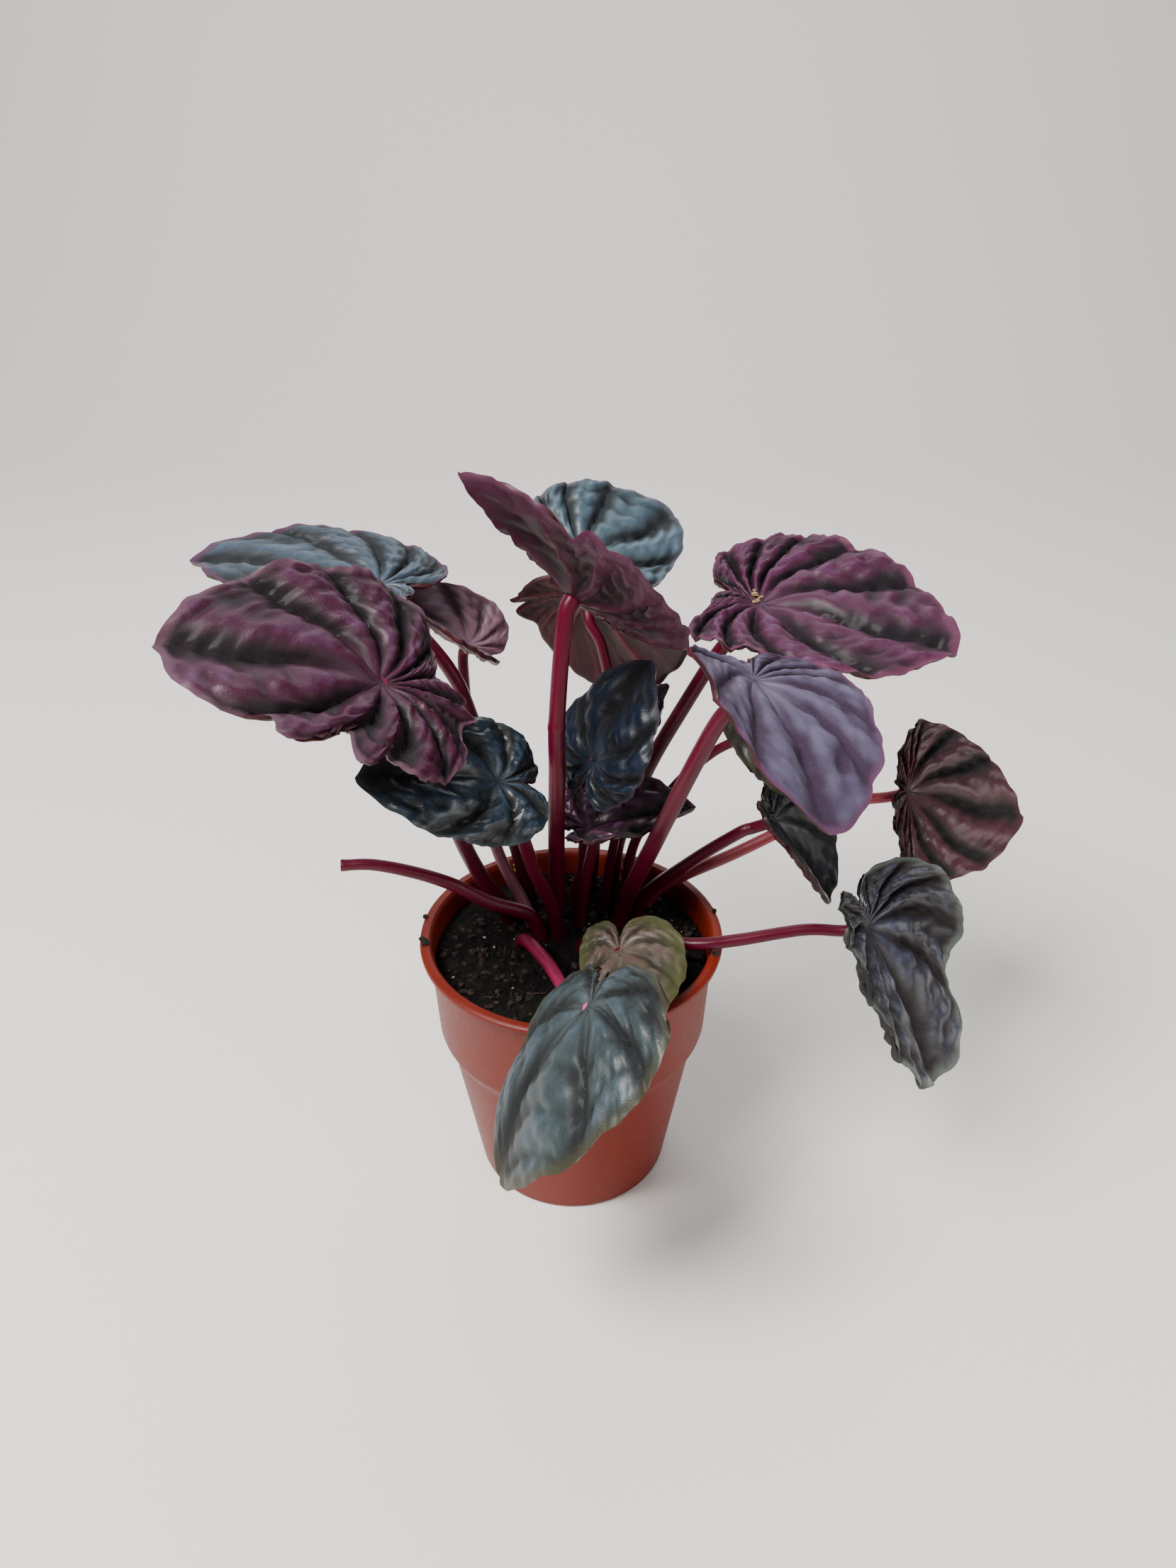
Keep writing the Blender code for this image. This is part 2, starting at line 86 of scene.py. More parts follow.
class Paint:
    """One material: its Principled shader, with numbers set on the shader's own sockets."""

    def __init__(self, name, **numbers):
        self.material = bpy.data.materials.new(name)
        self.material.use_nodes = True
        self.tree = self.material.node_tree
        self.shader = self.tree.nodes["Principled BSDF"]
        for socket, number in numbers.items():
            self.shader.inputs[socket.replace("_", " ")].default_value = number

    def add(self, kind, settings=None, values=None, out=0):
        """Adds a node: its settings first, then the values or wires of its sockets."""
        node = self.tree.nodes.new(kind)
        for key, setting in (settings or {}).items():
            setattr(node, key, setting)
        for key, value in (values or {}).items():
            self.feed(node.inputs[key], value)
        return Wire(self, node.outputs[out])

    def feed(self, socket, value):
        if isinstance(value, Wire):
            self.tree.links.new(value.socket, socket)
        else:
            socket.default_value = value

    def place(self, stretch=(1, 1, 1)):
        """Object coordinates, in metres."""
        seat = self.add("ShaderNodeTexCoord", out="Object")
        return self.add("ShaderNodeMapping", values={"Vector": seat, "Scale": stretch})

    def noise(self, scale, detail=3.0, at=None, rough=0.5):
        at = at or self.place()
        values = {"Vector": at, "Scale": scale, "Detail": detail, "Roughness": rough}
        return self.add("ShaderNodeTexNoise", values=values)

    def step(self, value, low, high, first=0.0, last=1.0):
        """Runs smoothly from first to last as a value goes from low to high."""
        values = {0: value, 1: low, 2: high, 3: first, 4: last}
        return self.add("ShaderNodeMapRange", {"interpolation_type": "SMOOTHSTEP"}, values)

    def attribute(self, name):
        """A value kept on the mesh."""
        return self.add("ShaderNodeAttribute", {"attribute_name": name}, out="Fac")

    def mix(self, share, first, second):
        """A colour between two, with a share of the second."""
        return self.add("ShaderNodeMix", {"data_type": "RGBA"}, {0: share, 6: first, 7: second}, out=2)

    def bump(self, height, strength, depth):
        values = {"Height": height, "Strength": strength, "Distance": depth}
        self.dress(Normal=self.add("ShaderNodeBump", values=values))

    def dress(self, **wires):
        for socket, value in wires.items():
            self.feed(self.shader.inputs[socket.replace("_", " ")], value)


def tone(red, green, blue):
    """A colour as a screen shows it, 0 to 255, as linear RGBA."""
    linear = [((c / 255 + 0.055) / 1.055) ** 2.4 if c > 10 else c / 3295 for c in (red, green, blue)]
    return (*linear, 1.0)


def deselect():
    if bpy.context.mode != "OBJECT":
        bpy.ops.object.mode_set(mode="OBJECT")
    bpy.ops.object.select_all(action="DESELECT")


def faces_outward():
    """Turns every face of the piece in edit mode outwards, and leaves edit mode."""
    bpy.ops.mesh.select_all(action="SELECT")
    bpy.ops.mesh.normals_make_consistent(inside=False)
    bpy.ops.object.mode_set(mode="OBJECT")


def turned_up(name, profile, sides):
    """A disc raised ring by ring through (radius, height) pairs, as on a potter's wheel."""
    deselect()
    radius, height = profile[0]
    bpy.ops.mesh.primitive_circle_add(vertices=sides, radius=radius, fill_type="NGON",
                                      location=(0, 0, 0))
    thing = bpy.context.object
    thing.name = name
    bpy.ops.object.mode_set(mode="EDIT")
    bpy.ops.transform.translate(value=(0, 0, height))
    for next_radius, next_height in profile[1:]:
        bpy.ops.mesh.extrude_region_move(TRANSFORM_OT_translate={"value": (0, 0, next_height - height)})
        bpy.ops.transform.resize(value=(next_radius / radius, next_radius / radius, 1))
        radius, height = next_radius, next_height
    faces_outward()
    return thing


def finish(thing, materials, smooth, replaced=()):
    """Gives a piece its place in the frame, its shading up to an angle, and its materials."""
    deselect()
    thing.select_set(True)
    bpy.context.view_layer.objects.active = thing
    bpy.ops.object.transform_apply(location=True, rotation=True, scale=True)
    bpy.ops.object.shade_smooth_by_angle(angle=radians(smooth))
    thing.data.materials.clear()
    for material in materials:
        thing.data.materials.append(material)
    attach(thing, "root")
    if replaced:
        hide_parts(*replaced)


# Radius and height of the wall in mm: up the outside, over the lip and down the inside.
POT_PROFILE = [
    (18.6, 0), (19.4, 0.12), (19.9, 0.5), (20.1, 1.1), (25.1, 32.4), (25.3, 33.2), (26.6, 35.6),
    (27.0, 36.4), (27.2, 37.2), (28.1, 54.2), (28.16, 54.35), (27.9, 54.5), (27.9, 54.85),
    (28.25, 55.0), (28.4, 55.5), (28.7, 55.75), (29.5, 55.85), (29.9, 56.15), (30.0, 56.6),
    (29.9, 57.1), (29.5, 57.42), (28.9, 57.5), (28.2, 57.4), (27.75, 57.0), (27.45, 56.0),
    (27.2, 52.5), (26.1, 36.6), (24.2, 33.0), (19.2, 1.6), (18.9, 1.3),
]
POT_SIDES = 160
DRAIN_HOLES = 5
DRAIN_RING = 13.0
DRAIN_RADIUS = 2.6
DRILL_HEIGHT = 0.7
DRILL_LENGTH = 6.0

pot = turned_up("pot_shell", [(radius * MM, height * MM) for radius, height in POT_PROFILE], POT_SIDES)
drills = []
for index in range(DRAIN_HOLES):
    turn = 2 * pi * (index + 0.5) / DRAIN_HOLES
    deselect()
    place = (DRAIN_RING * MM * cos(turn), DRAIN_RING * MM * sin(turn), DRILL_HEIGHT * MM)
    bpy.ops.mesh.primitive_cylinder_add(vertices=40, radius=DRAIN_RADIUS * MM, depth=DRILL_LENGTH * MM,
                                        location=place)
    drills.append(bpy.context.object)
for drill in drills:
    hole = pot.modifiers.new("drain", "BOOLEAN")
    hole.object = drill
    bpy.context.view_layer.objects.active = pot
    bpy.ops.object.modifier_apply(modifier=hole.name)
    bpy.data.objects.remove(drill, do_unlink=True)

plastic = Paint("terracotta_plastic", IOR=1.45, Specular_IOR_Level=0.3)
height = plastic.add("ShaderNodeSeparateXYZ", values={0: plastic.place()}, out="Z")
cloud = plastic.noise(22.0, 4.0)
grain = plastic.noise(900.0, 2.0)
drawn = plastic.noise(260.0, 3.0, plastic.place((1, 1, 0.06)))
body = plastic.mix(plastic.step(cloud, 0.3, 0.7), tone(98, 19, 4), tone(114, 26, 7))
body = plastic.mix(plastic.step(drawn, 0.55, 0.75, 0.0, 0.25), body, tone(128, 38, 16))
dust = plastic.step(plastic.noise(420.0, 5.0, rough=0.7), 0.6, 0.72) * plastic.step(height, 0.05, 0.0575)
body = plastic.mix(dust * 0.55, body, tone(52, 30, 22))
body = plastic.mix(plastic.step(height, 0.0, 0.004, 0.35, 0.0), body, tone(96, 36, 20))
plastic.dress(Base_Color=body, Roughness=plastic.step(cloud + grain * 0.4, 0.4, 1.0, 0.42, 0.56))
plastic.bump(grain * 0.35 + drawn * 0.65, 0.25, 0.00012)
finish(pot, [plastic.material], 32, ["pot"])


# Soil
# Moist dark potting soil, crumbly and pressed by watering. It fills the pot to about four
# millimetres under the lip and sinks a little at the wall.
SOIL_TOP = 53.0
SOIL_EDGE = 26.75
SOIL_GRID = 170
DIP_START = 22.0
COLLAR_DEPTH = 6.0
COLLAR_TAPER = 0.985
BODY_DEPTH = 45.0
BODY_TAPER = 0.71


def soil_height(x, y):
    """Height of the soil in mm: the low lumps of the solid, with finer crumbs on them."""
    lump = noise.noise(Vector((x * 0.22, y * 0.22, 1.7)))
    lump = lump + 0.5 * noise.noise(Vector((x * 0.55, y * 0.55, 6.1)))
    crumb = noise.fractal(Vector((x * 1.3, y * 1.3, 3.0)), 0.9, 2.2, 4)
    edge = max(0.0, (x * x + y * y) ** 0.5 - DIP_START) / 5.0
    return SOIL_TOP + 1.1 * lump * (1 - edge) + 0.55 * crumb - 0.5 * edge


def moved(thing, points):
    thing.data.vertices.foreach_set("co", np.asarray(points, float).ravel())
    thing.data.update()


def corners(thing):
    points = np.empty(3 * len(thing.data.vertices))
    thing.data.vertices.foreach_get("co", points)
    return points.reshape(-1, 3)


def grid(name, across, along, size):
    deselect()
    bpy.ops.mesh.primitive_grid_add(x_subdivisions=across, y_subdivisions=along, size=size,
                                    location=(0, 0, 0))
    thing = bpy.context.object
    thing.name = name
    return thing


# The square grid is pressed into a disc, then its rim is drawn down the collar, flattened, and
# drawn down the body to the floor of the pot.
soil = grid("soil_top", SOIL_GRID, SOIL_GRID, 2)
square = corners(soil)
reach = np.maximum(np.abs(square[:, 0]), np.abs(square[:, 1]))
length = np.maximum(np.hypot(square[:, 0], square[:, 1]), 1e-9)
disc = square[:, :2] * (reach / length)[:, None] * SOIL_EDGE
moved(soil, [(x * MM, y * MM, soil_height(x, y) * MM) for x, y in disc])
bpy.ops.object.mode_set(mode="EDIT")
bpy.ops.mesh.select_all(action="SELECT")
bpy.ops.mesh.region_to_loop()
bpy.ops.mesh.extrude_region_move(TRANSFORM_OT_translate={"value": (0, 0, -COLLAR_DEPTH * MM)})
bpy.ops.transform.resize(value=(COLLAR_TAPER, COLLAR_TAPER, 0))
bpy.ops.mesh.extrude_region_move(TRANSFORM_OT_translate={"value": (0, 0, 0)})
bpy.ops.transform.resize(value=(BODY_TAPER, BODY_TAPER, 1))
bpy.ops.transform.translate(value=(0, 0, -BODY_DEPTH * MM))
bpy.ops.mesh.edge_face_add()
faces_outward()

earth = Paint("potting_soil", IOR=1.4, Specular_IOR_Level=0.2)
coarse = earth.noise(260.0, 6.0, rough=0.7)
fine = earth.noise(1500.0, 5.0, rough=0.75)
fibre = earth.noise(520.0, 4.0, earth.place((1, 0.25, 1)))
ground = earth.mix(earth.step(coarse, 0.35, 0.7), tone(8, 6, 6), tone(22, 17, 15))
ground = earth.mix(earth.step(fine, 0.56, 0.72, 0.0, 0.6), ground, tone(52, 40, 33))
ground = earth.mix(earth.step(fibre, 0.64, 0.74, 0.0, 0.5), ground, tone(74, 50, 34))
earth.dress(Base_Color=ground, Roughness=earth.step(coarse, 0.3, 0.7, 0.98, 0.72))
earth.bump(coarse * 0.6 + fine * 0.4, 0.9, 0.0009)
finish(soil, [earth.material], 80, ["soil"])


# Soil crumbs, perlite and rootlets
# Loose crumbs of peat, white grains of perlite and thin broken rootlets lie on the soil. A few
# crumbs were left on the lip when the pot was filled.
rng = np.random.default_rng(7)


def joined(name, pieces):
    deselect()
    for piece in pieces:
        piece.select_set(True)
    bpy.context.view_layer.objects.active = pieces[0]
    bpy.ops.object.join()
    pieces[0].name = name
    return pieces[0]


def scattered(name, material, seeds, detail, size, squash, jag):
    """Small lumps at (x, y, z) seeds in mm, copied from one modelled lump and joined."""
    deselect()
    bpy.ops.mesh.primitive_ico_sphere_add(subdivisions=detail, radius=1, location=(0, 0, 0))
    first = bpy.context.object
    first.name = name
    shape = corners(first)
    copies = []
    for seed in seeds:
        copy = first.copy()
        copy.data = first.data.copy()
        bpy.context.scene.collection.objects.link(copy)
        rough = 1 + jag * rng.uniform(-1, 1, (len(shape), 1))
        stretch = rng.uniform(*size) * np.array((rng.uniform(0.7, 1.4), rng.uniform(0.7, 1.3), squash))
        turn = rng.uniform(0, 2 * pi)
        points = shape * rough * stretch
        spun = np.stack([points[:, 0] * cos(turn) - points[:, 1] * sin(turn),
                         points[:, 0] * sin(turn) + points[:, 1] * cos(turn), points[:, 2]], axis=1)
        moved(copy, (spun + seed) * MM)
        copies.append(copy)
    bpy.data.objects.remove(first, do_unlink=True)
    finish(joined(name, copies), [material], 30)


def on_soil(count, widest, lift):
    """Points in mm spread evenly over the soil and lifted a little off it."""
    turns = rng.uniform(0, 2 * pi, count)
    radii = widest * np.sqrt(rng.uniform(0.02, 1, count))
    spots = [(radius * cos(turn), radius * sin(turn)) for radius, turn in zip(radii, turns)]
    return [(x, y, soil_height(x, y) + lift) for x, y in spots]


crumb = Paint("soil_crumb", Roughness=0.95, IOR=1.4)
shade = crumb.noise(700.0, 4.0)
crumb.dress(Base_Color=crumb.mix(crumb.step(shade, 0.35, 0.65), tone(14, 10, 9), tone(46, 34, 28)))
crumb.bump(shade, 0.8, 0.0004)
ON_LIP = [(-29.2, -3.2, 57.6), (-28.6, -4.4, 57.6), (-29.5, 4.2, 57.5), (29.0, 6.0, 57.6),
          (27.9, -8.0, 57.6)]
loose = on_soil(420, 26.0, 0.15)
scattered("soil_crumbs", crumb.material, loose, 1, (0.22, 0.85), 0.7, 0.3)
scattered("lip_crumbs", crumb.material, ON_LIP, 2, (0.45, 0.95), 0.7, 0.3)

perlite = Paint("perlite", Roughness=0.8, Subsurface_Weight=0.2, Subsurface_Scale=0.001)
cell = perlite.noise(1800.0, 3.0)
perlite.dress(Base_Color=perlite.mix(cell, tone(110, 98, 88), tone(190, 180, 168)))
perlite.bump(cell, 0.7, 0.0003)
grains = on_soil(16, 25.5, 0.1)
scattered("perlite_grains", perlite.material, grains, 2, (0.12, 0.3), 0.8, 0.2)

# Grid points nearer than SEAM become one, and each end cap takes the share CAP of a tube.
SEAM = 0.004
CAP = 0.03
ROOTLETS = 14
ROOTLET_SPREAD = 19


def wrapped(name, across, along, place):
    """A flat grid laid onto a surface. place(u, v) gives points in mm and values kept on them."""
    thing = grid(name, across, along, 1)
    flat = corners(thing)
    points, kept = place(flat[:, 0] + 0.5, flat[:, 1] + 0.5)
    moved(thing, points * MM)
    for key, values in kept.items():
        layer = thing.data.attributes.new(key, "FLOAT", "POINT")
        layer.data.foreach_set("value", np.asarray(values, float))
    bpy.ops.object.mode_set(mode="EDIT")
    bpy.ops.mesh.select_all(action="SELECT")
    bpy.ops.mesh.remove_doubles(threshold=SEAM * MM)
    faces_outward()
    return thing


def sampled(rows, knots, wanted):
    """Rows of three values each, read between their knots."""
    return np.stack([np.interp(wanted, knots, rows[:, axis]) for axis in range(3)], axis=1)


def smooth_path(points, count):
    """Evenly spaced points on a smooth curve through the given ones."""
    p = np.array(points, float)
    p = np.vstack([2 * p[0] - p[1], p, 2 * p[-1] - p[-2]])
    fine_path = []
    for a, b, c, d in zip(p, p[1:], p[2:], p[3:]):
        for t in np.linspace(0, 1, 16, endpoint=False):
            fine_path.append(0.5 * (2 * b + (c - a) * t + (2 * a - 5 * b + 4 * c - d) * t**2
                                    + (3 * b - a - 3 * c + d) * t**3))
    fine_path.append(p[-2])
    fine_path = np.array(fine_path)
    run = np.concatenate([[0], np.cumsum(np.linalg.norm(np.diff(fine_path, axis=0), axis=1))])
    return sampled(fine_path, run, np.linspace(0, run[-1], count))


def tube_place(route, radius_at, rings, flute=0.0):
    """Lays a grid round a route: u goes round, v along, closed at both ends."""
    path = smooth_path(route, rings)
    tangents = np.gradient(path, axis=0)
    tangents /= np.linalg.norm(tangents, axis=1)[:, None]
    spokes = []
    spoke = np.array((1.0, 0.0, 0.0))
    for tangent in tangents:
        spoke = spoke - tangent * spoke.dot(tangent)
        spoke = spoke / np.linalg.norm(spoke)
        spokes.append(spoke)
    spokes = np.array(spokes)
    others = np.cross(tangents, spokes)

    def place(u, v):
        t = np.clip((v - CAP) / (1 - 2 * CAP), 0, 1)
        cap = np.sqrt(np.clip(np.minimum(v, 1 - v) / CAP, 0, 1))
        index = t * (rings - 1)
        turn = 2 * pi * u
        centre, first, second = (sampled(rows, range(rings), index) for rows in (path, spokes, others))
        radius = radius_at(t) * cap * (1 + flute * np.cos(5 * turn + 4 * t))
        ring = first * np.cos(turn)[:, None] + second * np.sin(turn)[:, None]
        kept = {"along": t, "round_x": np.cos(turn), "round_y": np.sin(turn)}
        return centre + ring * radius[:, None], kept

    return place


root_paint = Paint("dry_rootlet", Roughness=0.85)
brown = root_paint.mix(root_paint.noise(400.0), tone(74, 50, 36), tone(122, 92, 68))
root_paint.dress(Base_Color=brown)
rootlets = []
for index in range(ROOTLETS):
    turn = rng.uniform(0, 2 * pi)
    x, y = rng.uniform(-ROOTLET_SPREAD, ROOTLET_SPREAD), rng.uniform(-ROOTLET_SPREAD, ROOTLET_SPREAD)
    size = rng.uniform(2.0, 5.5)
    route = []
    for t in (0, 0.35, 0.7, 1.0):
        px = x + size * t * cos(turn) + rng.uniform(-0.6, 0.6)
        py = y + size * t * sin(turn) + rng.uniform(-0.6, 0.6)
        route.append((px, py, soil_height(px, py) + 0.25 + 0.5 * sin(pi * t) * rng.uniform(0, 1)))
    thin = rng.uniform(0.03, 0.06)
    place = tube_place(route, lambda t, thin=thin: thin * (1 - 0.5 * t), 12)
    rootlets.append(wrapped("rootlet", 5, 14, place))
finish(joined("rootlets", rootlets), [root_paint.material], 80)


# Leaf blades
# Fleshy heart-shaped sheets, held near the middle and quilted into ridges between sunken
# veins. Each has its own pose, and its own colours of ridge, rim and underside, and a furrow
# colour that is partly painted shade.

# Sizes are in mm and angles in degrees. at is the point over the stalk, and heading, pitch and roll
# turn the tip. skew widens the left side, droop and lobe bend the tip and the back lobes down, cup
# and fold raise the sides, and back stretches the back lobes. A bite is (angle from the tip, depth,
# width), where a depth below 0 bulges, and a pit is (share of the way out, angle, size). radius is
# the stalk's. ripple times quilt is how deep the furrows are, veins and pinches count the lines,
# and calm below 1 evens them. The sheen number is the strength of the painted highlight on the
# ridges, and edge is where the rim's colour begins.
USUAL = dict(skew=0, droop=0, cup=0, lobe=0, fold=0, back=1.0, bites=(), pits=(), small=False,
             quilt=1.0, veins=10, pinches=5.0, calm=1.0, spec=0.5, gloss=0.06, painted_sheen=0.32, edge=0.93)
LEAVES = [
    dict(name="upper_left", at=(-36.5, 23.5, 121.8), heading=180, pitch=12, roll=-4,
         length=35, width=0.82, droop=10, lobe=5, fold=6, back=0.85,
         bites=[(150, 0.5, 24)],
         radius=1.5, ripple=1.8, quilt=1.3, veins=11, calm=0.7,
         ridge=(44, 58, 70), valley_and_shade=(8, 13, 19), rim=(70, 34, 62), under=(70, 12, 24),
         rough=0.42, painted_sheen=0.5,
         stalk=[(-8, 12), (-11, 12.5, 68), (-19, 13.5, 98), (-22.5, 14.5, 107), (-29, 18, 114)]),
    dict(name="broad_left", at=(-30, -14, 119), heading=200, pitch=26, roll=-23,
         length=36, width=1.04, droop=20, cup=8, lobe=35,
         bites=[(36, 0.18, 9), (62, 0.38, 9), (88, 0.24, 8), (-150, 0.32, 24), (180, -1.2, 10)],
         radius=1.6, ripple=2.4, quilt=1.7, veins=12, calm=0.55,
         ridge=(56, 12, 36), valley_and_shade=(12, 1, 6), rim=(82, 54, 68), under=(60, 8, 20),
         rough=0.46, spec=0.32, painted_sheen=0.45,
         stalk=[(-12, 10), (-13.7, 8, 57), (-18, 4.5, 67.5), (-22, 3, 80), (-25.5, 1, 98), (-28, -6, 110)]),
    dict(name="small_back_left", at=(-20, 28, 107.5), heading=175, pitch=33, roll=-5,
         length=19.5, width=0.95, cup=40, fold=10, back=0.85,
         radius=1.25, small=True, ripple=1.2, quilt=0.9, calm=0.7,
         ridge=(104, 72, 86), valley_and_shade=(54, 26, 38), rim=(88, 56, 66), under=(72, 14, 26),
         rough=0.44,
         stalk=[(-7.5, 7), (-9.5, 8, 57), (-15.5, 14, 68), (-20, 22, 84), (-21.7, 27, 99)]),
    dict(name="dark_left", at=(-12, -12, 99), heading=204, pitch=20, roll=-38,
         length=25, width=0.80, droop=22, cup=-10, lobe=40, back=0.9,
         radius=1.4, small=True, ripple=1.4, quilt=1.7, veins=8, calm=0.8,
         ridge=(22, 36, 44), valley_and_shade=(2, 4, 5), rim=(32, 44, 48), under=(50, 6, 14),
         rough=0.28, gloss=0.35, painted_sheen=0.6,
         stalk=[(-2, 4.5), (-4.1, 1.4, 62.6), (-6.9, -2.3, 73.1), (-9, -6, 84)]),
    dict(name="new_centre", at=(3.7, -3.6, 98.2), heading=40, pitch=62, roll=-6,
         length=21, width=1.0, droop=25, cup=-10, lobe=40, back=0.85,
         radius=1.2, small=True, ripple=1.3, quilt=1.3, veins=9, pinches=3.5,
         pits=[(0.5, 8, 1.1), (0.75, -14, 0.8), (0.36, -30, 0.9)],
         ridge=(8, 17, 32), valley_and_shade=(1, 1, 3), rim=(28, 24, 38), under=(38, 4, 12),
         rough=0.36, spec=0.25, gloss=0.05, painted_sheen=0.12,
         stalk=[(2, 12.3), (2.4, 13.8, 66), (3.2, 14.5, 84), (4.2, 9, 92.5)]),
    dict(name="new_behind", at=(11.2, 9.5, 93), heading=30, pitch=58, roll=-4,
         length=14.5, width=0.65, lobe=20, fold=18,
         radius=1.0, small=True, ripple=1.1, quilt=1.4,
         ridge=(44, 28, 42), valley_and_shade=(15, 6, 12), rim=(56, 34, 46), under=(48, 6, 18),
         rough=0.32,
         stalk=[(6, 13.2), (8.6, 13.6, 69), (11.3, 13.5, 83)]),
    dict(name="folded_centre", at=(4, 3, 80.5), heading=6, pitch=10, roll=12,
         length=20, width=0.84, droop=5, fold=30,
         bites=[(-150, 0.5, 25)],
         radius=1.2, small=True, ripple=1.2, quilt=1.7, veins=8,
         ridge=(62, 20, 46), valley_and_shade=(14, 2, 6), rim=(80, 46, 66), under=(42, 3, 12),
         rough=0.3, gloss=0.2, painted_sheen=0.8,
         stalk=[(1, 8), (2.6, 5.5, 64)]),
    dict(name="upper_folded", at=(1.6, 0, 128.5), heading=182, pitch=45, roll=25,
         length=28, width=0.95, skew=0.2, droop=-6, lobe=-30, fold=16, back=1.65,
         bites=[(48, 0.25, 7)],
         radius=1.65, ripple=1.8, quilt=1.2, veins=12,
         ridge=(76, 44, 60), valley_and_shade=(32, 10, 20), rim=(98, 66, 82), under=(46, 2, 24), outer=(68, 28, 50),
         rough=0.44,
         stalk=[(-3.5, 9.5), (-3, 5.5, 66), (-2.6, -1, 82.3), (-2.2, -4.4, 97), (-2.1, -5, 106.5),
                (-0.5, -4, 122.5)]),
    dict(name="upper_silver", at=(3.5, 37, 122.5), heading=39, pitch=5, roll=33,
         length=24.5, width=1.0, skew=0.12, cup=5, lobe=-20, back=0.8,
         radius=1.15, ripple=1.8, quilt=1.3, veins=12, calm=0.6,
         ridge=(58, 76, 86), valley_and_shade=(8, 15, 20), rim=(76, 76, 86), under=(58, 12, 24),
         rough=0.42, painted_sheen=0.45,
         stalk=[(3.5, 17), (6, 26, 80), (6.5, 35, 104)]),
    dict(name="upper_turned", at=(4, 24, 118.5), heading=-32, pitch=5, roll=-62,
         length=25, width=0.9, skew=0.5, droop=34, cup=-30, lobe=45, back=1.35,
         bites=[(180, -0.9, 14)],
         radius=1.15, ripple=1.4, quilt=0.3,
         ridge=(64, 36, 48), valley_and_shade=(30, 10, 18), rim=(80, 70, 34), under=(58, 5, 16),
         rough=0.44,
         stalk=[(-1, 16), (5, 17, 73), (7.5, 17.5, 98), (6, 18.5, 110)]),
    dict(name="broad_right", at=(34.9, 16, 120.8), heading=-28, pitch=-3, roll=11,
         length=37, width=0.98, skew=0.05, droop=3, cup=9, back=0.8,
         bites=[(-150, 0.38, 22), (-85, 0.14, 30)],
         radius=1.6, ripple=2.4, quilt=1.7, veins=13, calm=0.6,
         ridge=(66, 18, 48), valley_and_shade=(12, 2, 9), rim=(90, 44, 68), under=(60, 8, 22),
         rough=0.46, spec=0.32, painted_sheen=0.4,
         stalk=[(8, 17), (9.4, 18.5, 66), (15, 19, 82.8), (22, 19, 97.4), (28.8, 18, 110.5)]),
    dict(name="hanging_right", at=(30, -18, 121.5), heading=-68, pitch=-16, roll=-22,
         length=31, width=0.92, skew=0.1, droop=20, cup=18, lobe=30, back=0.45,
         bites=[(-135, 0.3, 25)],
         radius=1.7, ripple=1.7, veins=13, calm=0.5,
         pits=[(0.72, 19, 1.8), (0.6, 0, 1.5)],
         ridge=(80, 72, 94), valley_and_shade=(42, 22, 46), rim=(84, 46, 76), under=(64, 14, 30),
         rough=0.44,
         stalk=[(9, 8.8), (11, 6.5, 60), (16, -6, 83.3), (20.8, -9.5, 98.3), (24.8, -14, 111)]),
    dict(name="hanging_small", at=(39, 0, 83), heading=0, pitch=-54, roll=30,
         length=23, width=0.70, droop=8, fold=40, back=0.75,
         radius=1.35, small=True, ripple=1.1, quilt=1.3,
         ridge=(18, 23, 28), valley_and_shade=(4, 5, 7), rim=(36, 14, 20), under=(54, 5, 15),
         rough=0.32,
         stalk=[(13.5, 10), (14.2, 9.4, 58), (23.2, 5.7, 69.5), (31.9, 2.5, 78.5)]),
    dict(name="far_right", at=(70, 21, 77.1), heading=9, pitch=-20, roll=48,
         length=26.7, width=1.04, skew=-0.09, droop=-6, cup=18, lobe=-15, back=0.35,
         radius=1.3, ripple=1.8, quilt=1.5, veins=13, calm=0.25,
         ridge=(74, 28, 34), valley_and_shade=(14, 4, 5), rim=(68, 26, 40), under=(58, 10, 20),
         rough=0.34, spec=0.7, painted_sheen=0.4,
         stalk=[(15, 14.5), (18.5, 15, 57), (34, 15.5, 65.5), (54, 19, 74.5), (62.5, 24, 76)]),
    dict(name="low_right", at=(57, -9, 65), heading=-46, pitch=-55, roll=-12,
         length=33, width=0.95, skew=0.2, cup=35, back=0.66,
         bites=[(40, 0.2, 13), (14, -0.1, 12), (0, 0.06, 8), (-20, -0.1, 14)],
         radius=1.3, ripple=2.0, quilt=1.5, veins=12, calm=0.8,
         ridge=(42, 42, 52), valley_and_shade=(22, 8, 8), rim=(86, 94, 86), under=(36, 38, 38),
         rough=0.32, spec=0.7, painted_sheen=1.0, edge=0.9,
         stalk=[(5.5, 3.5), (14, -2.5, 57), (23.5, -6.9, 59.2), (32, -7.2, 60.4), (44.5, -6.5, 62.3),
                (52, -7, 64.2)]),
    dict(name="front_draped", at=(2.6, -37.5, 70.6), heading=-157, pitch=-42, roll=12,
         length=36.5, width=0.78, skew=0.3, droop=38, cup=-20, lobe=-15, back=0.85,
         bites=[(-142, 0.78, 30)],
         radius=1.35, ripple=1.7, quilt=1.35, veins=8, pinches=4.0,
         ridge=(42, 55, 58), valley_and_shade=(10, 15, 17), rim=(50, 48, 26), under=(58, 44, 30),
         rough=0.46, painted_sheen=0.42, edge=0.88,
         stalk=[(-10.5, 3), (-9.3, -1.5, 56), (-4.3, -12.5, 59), (0.2, -26.5, 62.5)]),
    dict(name="front_small", at=(9, -13, 63), heading=-92, pitch=-8, roll=10,
         length=20, width=0.85, skew=0.25, droop=8, cup=-20, lobe=12,
         radius=1.2, small=True, ripple=1.2, quilt=1.1, veins=8,
